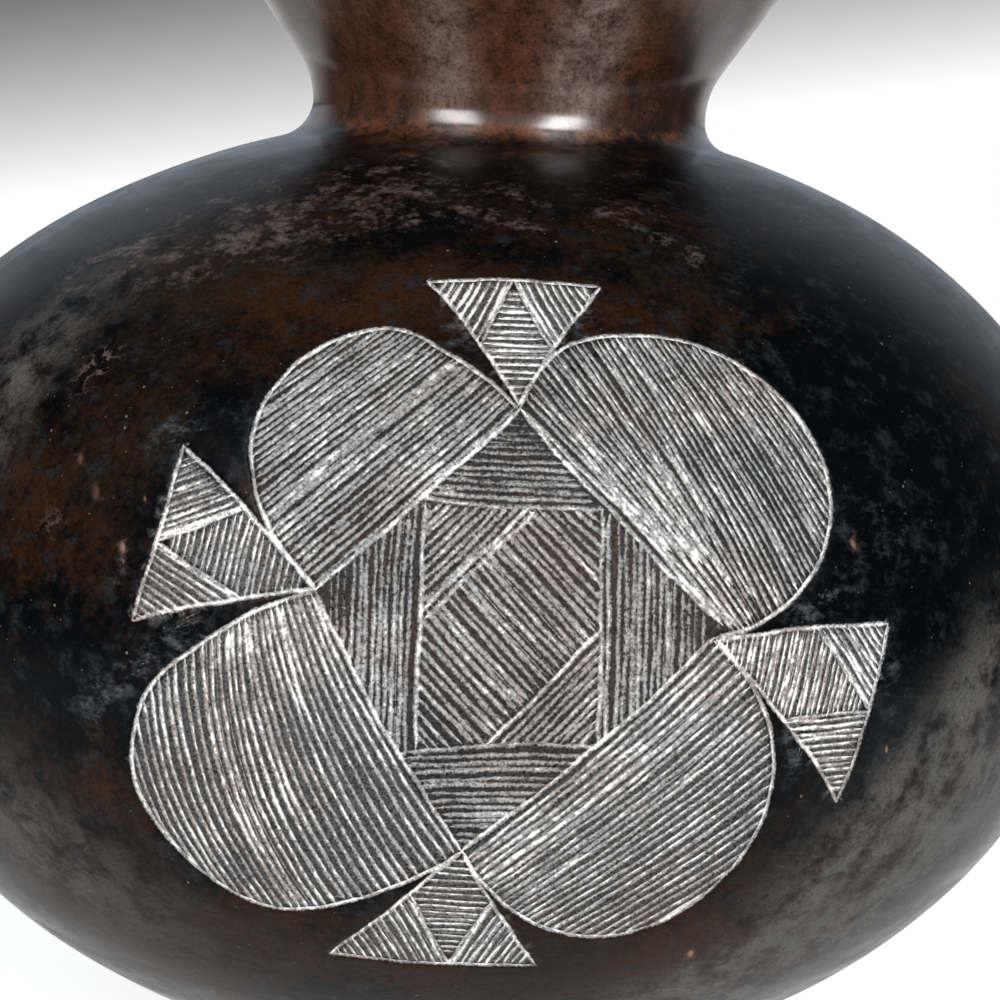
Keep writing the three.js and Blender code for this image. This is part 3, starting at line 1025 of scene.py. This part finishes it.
# Fine scratches beside the figure, left as the white was rubbed in and the rest wiped off
SCRATCH_WIDTH = 0.4
SCRATCH_DEPTH = 0.06
SCRATCH_WHITE = 0.13
SCRATCH_LEAN = math.radians(22)
for start, end, reach, count in (
    ((-72, -12), (-50, 3), (-2.5, 4.5), 9),
    ((-83, -24), (-70, -12), (-4, 5), 5),
    ((66, 4), (80, 12), (-3, 4), 5),
    ((70, -26), (73, -9), (3.5, -1), 5),
    ((-13, 73), (-3, 60), (-3, -2.5), 4),
    ((20, 60), (29, 73), (3, -2.5), 4),
):
    start, end, reach = np.array(start), np.array(end), np.array(reach)
    for scratch in range(count):
        sideways = reach * (scratch + hand.uniform(0.1, 0.9)) / count
        middle = start + (end - start) * hand.uniform(0.15, 0.85) + sideways
        lean = hand.uniform(-SCRATCH_LEAN, SCRATCH_LEAN)
        turned = np.array([[math.cos(lean), -math.sin(lean)], [math.sin(lean), math.cos(lean)]])
        half = turned @ (end - start) * hand.uniform(0.06, 0.18)
        scratch_points = [middle - half, middle, middle + half]
        score(scratch_points, SCRATCH_WIDTH, SCRATCH_DEPTH, SCRATCH_WHITE, fleck=(-0.6, 0.0))

# Chips of the skin, where the unsmoked clay shows
CHIP_REACH = np.array((-0.5, 1.3))
CHIP_WIDTH = 2.2
CHIP_DEPTH = 0.2
CHIP_TAPER = 0.8
for chip_x, chip_rise, chip_size, chip_bare in (
    (63.4, -73.5, 1.0, 1.0),
    (84.5, 22.6, 0.8, 0.7),
    (96.3, -20.9, 0.7, 0.8),
    (-72.6, 16.4, 0.8, 0.8),
    (-72.0, 13.6, 0.5, 0.5),
    (-82.2, 26.9, 1.2, 0.2),
    (-89.1, 33.3, 0.9, 0.3),
    (-69.7, 26.6, 0.5, 0.6),
):
    chip_middle = np.array((chip_x, chip_rise))
    chip_reach = CHIP_REACH * chip_size
    chip_points = [chip_middle - chip_reach, chip_middle, chip_middle + chip_reach]
    chip_width = CHIP_WIDTH * chip_size
    score(chip_points, chip_width, CHIP_DEPTH, chalk=0.0, bare=chip_bare, wander=0.0, tapers=CHIP_TAPER)

# The centres of all strokes, closely spaced, tell how deep and how white any point of the wall is
CENTRES_PER_STEP = 4
centres = {label: [] for label in strokes[0]}
for stroke in strokes:
    steps = np.arange(len(stroke["line"]))
    fine = np.linspace(0, steps[-1], CENTRES_PER_STEP * len(steps))
    for label, values in stroke.items():
        columns = values.reshape(len(steps), -1).T
        centres[label].append(np.stack([np.interp(fine, steps, column) for column in columns], axis=1))
centres = {label: np.concatenate(values).squeeze() for label, values in centres.items()}


def on_wall(points, sunk=0.0):
    return outside(points[:, 0] / BELLY_RADIUS, belly_along + points[:, 1], sunk)


scored = kdtree.KDTree(len(centres["line"]))
for index, centre in enumerate(on_wall(centres["line"])):
    scored.insert(centre, index)
scored.balance()

# Points and edges of the carved front: its border and joints, both brinks and the bottom of each
# stroke, and an even spread of points wherever no stroke comes near. Strokes cross a joint but none of
# their points lies on it. Rises are rounded, so that joints and border share the points where they meet.
FRONT_SPREAD = 2.2
STROKE_CLEAR = 1.1
BORDER_CLEAR = 1.0
SPREAD_CLEAR = 0.7
JOINT_CLEAR = 0.03
SAME_POINT = 1e-5
RISE_DIGITS = 4
flat_points, flat_edges = [], []


def lay_line(points):
    first = len(flat_points)
    flat_points.extend(points)
    flat_edges.extend((k, k + 1) for k in range(first, len(flat_points) - 1))


front_edge = front_turn * BELLY_RADIUS
border_columns = column_turns[front_first : front_last + 1] * BELLY_RADIUS
course_rows = [spaced(joints[course], joints[course + 1], BODY_ROW) for course in range(WALL_COURSES)]
joint_rises = np.round(np.array(joints) - belly_along, RISE_DIGITS)
for rise in joint_rises[: CARVED_COURSES + 1]:
    lay_line([(x, rise) for x in border_columns])
border_rises = np.concatenate(course_rows[:CARVED_COURSES]) - belly_along
border_rises = np.unique(np.round(border_rises, RISE_DIGITS))
for x in (-front_edge, front_edge):
    lay_line([(x, rise) for rise in border_rises])
for stroke in strokes:
    line = stroke["line"]
    left = to_left(line) * stroke["half_width"][:, None]
    start_tip = 2 * line[0] - line[1]
    end_tip = 2 * line[-1] - line[-2]
    for brink in (line + left, line, line - left):
        brink = np.array([start_tip, *brink, end_tip])
        for rise in joint_rises:
            gap = brink[:, 1] - rise
            close = np.abs(gap) < JOINT_CLEAR
            brink[close, 1] = rise + np.where(gap[close] < 0, -JOINT_CLEAR, JOINT_CLEAR)
        lay_line(brink)
spread_top = border_rises[-1] - BORDER_CLEAR
for row, rise in enumerate(np.arange(border_rises[0] + FRONT_SPREAD, spread_top, FRONT_SPREAD)):
    start = -front_edge + FRONT_SPREAD * (1 + 0.5 * (row % 2))
    spread = np.array([(x, rise) for x in np.arange(start, front_edge - BORDER_CLEAR, FRONT_SPREAD)])
    for flat, place in zip(spread, on_wall(spread)):
        if scored.find(place)[2] > STROKE_CLEAR and np.abs(rise - joint_rises).min() > SPREAD_CLEAR:
            flat_points.append(flat)
front_points, _, front_faces, *_ = geometry.delaunay_2d_cdt(
    [Vector(point) for point in flat_points], flat_edges, [], 0, SAME_POINT, True
)
front_points = np.array([tuple(point) for point in front_points])
front_faces = np.array(front_faces)

# How deep and how white each point is, by the strokes within reach of it, and how dusty beside them
DUST_REACH = 1.2
DUST_EDGE = 0.5
PLAIN_FLECK = -0.5
sunk = np.zeros(len(front_points))
whites = np.zeros((len(front_points), 4))
for index, place in enumerate(on_wall(front_points)):
    chalk, fleck, dust, bare = 0.0, PLAIN_FLECK, 0.0, 0.0
    _, nearest, _ = scored.find(place)
    for _, centre, away in scored.find_range(place, DUST_REACH):
        dust = max(dust, centres["dust"][nearest] * min(1.0, (DUST_REACH - away) / DUST_EDGE))
        reach = 1 - (away / centres["half_width"][centre]) ** 2
        if reach > 0:
            sunk[index] = max(sunk[index], centres["depth"][centre] * reach)
            chalk = max(chalk, centres["chalk"][centre] * reach)
            fleck = max(fleck, centres["fleck"][centre] * reach)
            bare = max(bare, centres["bare"][centre] * reach)
    whites[index] = chalk, fleck, dust, bare
carved = on_wall(front_points, sunk)

# Shading of the carved front: the smooth wall's own, and the faces' where a stroke cuts it
CUT_DEPTH = 0.01
corners = carved[front_faces]
face_normals = np.cross(corners[:, 1] - corners[:, 0], corners[:, 2] - corners[:, 0])
outwards = facing(outside, front_points[:, 0] / BELLY_RADIUS, belly_along + front_points[:, 1])
flipped = np.einsum("ij,ij->i", face_normals, outwards[front_faces[:, 0]]) < 0
front_faces[flipped] = front_faces[flipped][:, ::-1]
face_normals[flipped] *= -1
cut_normals = np.zeros_like(carved)
touches_cut = np.zeros(len(carved), bool)
cut_face = (sunk[front_faces] > CUT_DEPTH).any(axis=1)
for corner in range(3):
    np.add.at(cut_normals, front_faces[:, corner], face_normals)
    touches_cut[front_faces[cut_face, corner]] = True
cut_normals /= np.maximum(np.linalg.norm(cut_normals, axis=1, keepdims=True), 1e-9)
front_normals = np.where(touches_cut[:, None], cut_normals, outwards)
face_rises = front_points[front_faces, 1].mean(axis=1) + belly_along

# Both bevels of a course and its wiped inside, from its upper edge outside round to its lower one. The
# map is the part of the flat map that each bevel takes.
BEVEL_MAP = 0.12


def line_course(piece, upper_loop, inner, lower_loop):
    piece.lace(upper_loop, inner[0][0], (0.0, BEVEL_MAP), WIPED)
    piece.join_rings(inner, np.linspace(BEVEL_MAP, 1 - BEVEL_MAP, len(inner)), WIPED)
    piece.lace(inner[-1][0], lower_loop, (1 - BEVEL_MAP, 1.0), WIPED)


# Points of the carved front this close to its sides or to a joint lie on them
AT_SIDE = 1e-3
AT_JOINT = 2e-4
for course in range(WALL_COURSES):
    piece = ClayPiece()
    rows = course_rows[course]
    rings = [outside_ring(piece, along) for along in rows]
    if course < CARVED_COURSES:
        for row in range(len(rows) - 1):
            shares = (row / (len(rows) - 1), (row + 1) / (len(rows) - 1))
            piece.join(rings[row], rings[row + 1], shares, BACK_AREA, BURNISHED, back_columns)
        mine = front_faces[(face_rises > rows[0]) & (face_rises < rows[-1])]
        used = np.unique(mine)
        own = np.full(len(front_points), -1)
        own[used] = piece.add_points(carved[used], front_points[used, 0] / BELLY_RADIUS, whites[used])
        for side, column in ((-front_edge, front_first), (front_edge, front_last)):
            for point in used[np.abs(front_points[used, 0] - side) < AT_SIDE]:
                row = np.argmin(np.abs(rows - belly_along - front_points[point, 1]))
                own[point] = rings[row][0][column]
        turns = front_points[mine, 0] / BELLY_RADIUS
        shares = (front_points[mine, 1] + belly_along - rows[0]) / (rows[-1] - rows[0])
        piece.add_faces(own[mine], front_normals[mine], turns, shares, FRONT_AREA, BURNISHED)
        loops = []
        for row in (0, -1):
            at_joint = used[np.abs(front_points[used, 1] + belly_along - rows[row]) < AT_JOINT]
            at_joint = at_joint[np.abs(front_points[at_joint, 0]) < front_edge - AT_SIDE]
            ring, _ = rings[row]
            loop = np.concatenate([ring[: front_first + 1], own[at_joint], ring[front_last:]])
            loops.append(loop[np.argsort(piece.turns[loop])])
    else:
        piece.join_rings(rings, np.linspace(0, 1, len(rings)), BURNISHED)
        loops = [rings[0][0], rings[-1][0]]
    inner = [inside_ring(piece, along + BEVEL) for along in spaced(rows[-1], rows[0], INSIDE_ROW)]
    line_course(piece, loops[1], inner, loops[0])
    piece.make(f"wall_course_{course + 1}", clays)

# The neck: a collar of clay set on the shoulder, with a fillet smoothed into the joint, and a second
# course above it that flares straight to the rim. Both are rubbed brighter by hands and stay brown.

NECK_ROW = 1.6
FLARE_ROW = 4.0
RIM_COIL = 15.0
rim_joint = skin_length - RIM_COIL

for name, start, end, row in (
    ("neck_collar", body_length, collar_length, NECK_ROW),
    ("flare_course", collar_length, rim_joint, FLARE_ROW),
):
    piece = ClayPiece()
    rings = [outside_ring(piece, along) for along in spaced(start, end, row)]
    inner = [inside_ring(piece, along + BEVEL) for along in spaced(end, start, row)]
    piece.join_rings(rings, np.linspace(0, 1, len(rings)), BURNISHED)
    line_course(piece, rings[-1][0], inner, rings[0][0])
    piece.make(name, clays)

# The rim coil: the last roll of clay, pinched onto the flare and rounded over into the lip with a wet
# leather. It is burnished outside and over the lip like the neck.

LIP_STEPS = 14
RIM_BEVEL_MAP = (0.85, 1.0)
rim = ClayPiece()
rim_outside = [outside_ring(rim, along) for along in spaced(rim_joint, skin_length, FLARE_ROW)]
lip_outer = outside(column_turns, skin_length)
lip_inner = inside(column_turns, skin_length)
lip_middle = (lip_outer + lip_inner) / 2
lip_out = (lip_outer - lip_inner) / 2
_, _, cone_out, cone_up = wall(skin_length)
lip_up = np.stack(
    [-cone_up * np.sin(column_turns), cone_up * np.cos(column_turns), np.full(COLUMNS, cone_out)], axis=1
)
lip_up *= np.linalg.norm(lip_out, axis=1, keepdims=True)
lip = []
for bend in np.linspace(0, math.pi, LIP_STEPS + 1)[1:-1]:
    away = np.cos(bend) * lip_out + np.sin(bend) * lip_up
    lip.append(rim.add_ring(lip_middle + away, away / np.linalg.norm(away, axis=1, keepdims=True)))
rim_inside = [inside_ring(rim, along) for along in spaced(skin_length, rim_joint + BEVEL, FLARE_ROW)]
rim_rings = rim_outside + lip + rim_inside[:1]
rim.join_rings(rim_rings, np.linspace(0, 1, len(rim_rings)), BURNISHED)
rim.join_rings(rim_inside, np.linspace(0, RIM_BEVEL_MAP[0], len(rim_inside)), WIPED)
rim.lace(rim_inside[-1][0], rim_outside[0][0], RIM_BEVEL_MAP, WIPED)
rim.make("rim_coil", clays)

# The studio: a plain white floor, a white backdrop behind that darkens upwards and to the left, a dim
# room in front, soft light from both sides and two tall bright panels that the rubbed neck mirrors. The
# camera is close by, level with the neck and a little tilted, so the mouth and foot are out of view.

FLOOR_SIDES = 0.44
FLOOR_FRONT = 0.45
FLOOR_BACK = 1.2
FLOOR_WHITE = (0.88, 0.88, 0.88, 1)
FLOOR_GLOW = 0.80
FLOOR_GLOW_RISE = 1.1
floor_mesh = bpy.data.meshes.new("floor")
floor_mesh.from_pydata(
    [
        (-FLOOR_SIDES, -FLOOR_FRONT, 0),
        (FLOOR_SIDES, -FLOOR_FRONT, 0),
        (FLOOR_SIDES, FLOOR_BACK, 0),
        (-FLOOR_SIDES, FLOOR_BACK, 0),
    ],
    [],
    [(0, 1, 2, 3)],
)
floor = bpy.data.objects.new("floor", floor_mesh)
bpy.context.scene.collection.objects.link(floor)
paper = Finish(bpy.data.materials.new("white_floor"))
diffuse = paper.node("ShaderNodeBsdfDiffuse", {"Color": FLOOR_WHITE})
light_path = paper.node("ShaderNodeLightPath").outputs
seen = paper.sum("MAXIMUM", light_path["Is Camera Ray"], light_path["Is Glossy Ray"])
seen = paper.sum("MAXIMUM", seen, light_path["Is Transmission Ray"])
across = paper.node("ShaderNodeSeparateXYZ", {0: paper.places["Object"]}).outputs["X"]
brighter = paper.sum("MULTIPLY_ADD", across, FLOOR_GLOW_RISE, FLOOR_GLOW)
brighter = paper.sum("MAXIMUM", FLOOR_GLOW, brighter)
glow = paper.node("ShaderNodeEmission", {"Color": (1, 1, 1, 1), "Strength": paper.times(seen, brighter)})
both = paper.node("ShaderNodeAddShader", {0: diffuse.outputs[0], 1: glow.outputs[0]})
paper.node("ShaderNodeOutputMaterial", {"Surface": both.outputs[0]})
floor_mesh.materials.append(paper.owner)

# The backdrop's lightness to the eye falls evenly with the height looked at, and from right to left. Above
# what the camera sees it passes into a bright bluish upper wall, which glints on the clay's edges.
ROOM_GREY = (0.06, 0.07, 0.08, 1)
UPPER_WALL = (0.64, 0.72, 0.82, 1)
BACKDROP_LEVEL = 0.921
BACKDROP_FALL = -9.22
BACKDROP_SLANT = 1.51
BACKDROP_REACH = 0.16
BACKDROP_DARKEST = 0.40
BACKDROP_SIDES = (0.68, 0.94)
UPPER_WALL_START = (0.035, 0.10)
UPPER_WALL_END = (0.70, 0.90)
UPPER_WALL_SIDES = (0.45, 0.80)
EYE_POWER = 2.2
studio = bpy.data.worlds.new("studio")
bpy.context.scene.world = studio
room = Finish(studio)
look = room.node("ShaderNodeSeparateXYZ", {0: room.places["Generated"]}).outputs
reach = {"Value": look["X"], "Min": -BACKDROP_REACH, "Max": BACKDROP_REACH}
slant = room.node("ShaderNodeClamp", reach).outputs[0]
lightness = room.sum("MULTIPLY_ADD", look["Z"], BACKDROP_FALL, BACKDROP_LEVEL)
lightness = room.sum("MULTIPLY_ADD", slant, BACKDROP_SLANT, lightness)
limits = {"Value": lightness, "Min": BACKDROP_DARKEST, "Max": 1.0}
lightness = room.node("ShaderNodeClamp", limits).outputs[0]
backdrop = room.sum("POWER", lightness, EYE_POWER)
backdrop = room.node("ShaderNodeCombineColor", dict.fromkeys(range(3), backdrop)).outputs[0]
room_light = room.blend(room.fade(look["Y"], *BACKDROP_SIDES), ROOM_GREY, backdrop)
above = room.fade(look["Z"], *UPPER_WALL_START)
above = room.sum("SUBTRACT", above, room.fade(look["Z"], *UPPER_WALL_END))
above = room.times(above, room.fade(look["Y"], *UPPER_WALL_SIDES))
room_light = room.blend(above, room_light, UPPER_WALL)
background = room.node("ShaderNodeBackground", {"Color": room_light})
room.node("ShaderNodeOutputWorld", {"Surface": background.outputs[0]})

# On each side a broad soft lamp, which the clay doesn't mirror, and a panel, which it only mirrors
LAMP_TURN = math.radians(31)
LAMP_RISE = math.radians(8)
LAMP_SPREAD = math.radians(18)
LAMP_STRENGTH = 2.2
PANEL_RISE = math.radians(28)
PANEL_AWAY = 2.0
PANEL_WIDTH = 0.54
PANEL_HEIGHT = 1.4
PANEL_STRENGTH = {-1: 42.0, 1: 60.0}
neck_place = Vector((NECK_OFFSET, 0.0, neck_height)) * MM


# Direction towards a light in front on one side
def towards(side, rise):
    across = side * math.sin(LAMP_TURN) * math.cos(rise)
    return Vector((across, -math.cos(LAMP_TURN) * math.cos(rise), math.sin(rise)))


for side in (-1, 1):
    lamp = bpy.data.lights.new("softbox", "SUN")
    lamp.energy = LAMP_STRENGTH
    lamp.angle = LAMP_SPREAD
    softbox = bpy.data.objects.new("softbox", lamp)
    softbox.visible_glossy = False
    panel_lamp = bpy.data.lights.new("panel", "AREA")
    panel_lamp.shape = "RECTANGLE"
    panel_lamp.size = PANEL_WIDTH
    panel_lamp.size_y = PANEL_HEIGHT
    panel_lamp.energy = PANEL_STRENGTH[side]
    panel = bpy.data.objects.new("panel", panel_lamp)
    panel.location = neck_place + PANEL_AWAY * towards(side, PANEL_RISE)
    panel.visible_diffuse = False
    for light, rise in ((softbox, LAMP_RISE), (panel, PANEL_RISE)):
        light.rotation_euler = (-towards(side, rise)).to_track_quat("-Z", "Y").to_euler()
        bpy.context.scene.collection.objects.link(light)

# The camera, and the point that it is aimed at, with their rises above the belly
CAMERA_AWAY = 0.800
CAMERA_RISE = 0.1068
AIM_ACROSS = 0.0077
AIM_RISE = 0.0138
CAMERA_TILT = math.radians(2.52)
CAMERA_LENS = 120.85
CAMERA_SENSOR = 36.0
camera = bpy.data.objects.new("camera", bpy.data.cameras.new("camera"))
bpy.context.scene.collection.objects.link(camera)
camera.data.lens = CAMERA_LENS
camera.data.sensor_width = CAMERA_SENSOR
camera.location = Vector((0.0, -CAMERA_AWAY, belly_height * MM + CAMERA_RISE))
aim = Vector((AIM_ACROSS, 0.0, belly_height * MM + AIM_RISE))
level = (aim - camera.location).to_track_quat("-Z", "Y").to_matrix()
camera.rotation_euler = (level @ Matrix.Rotation(CAMERA_TILT, 3, "Z")).to_euler()
bpy.context.scene.camera = camera
bpy.context.scene.view_settings.view_transform = "Standard"
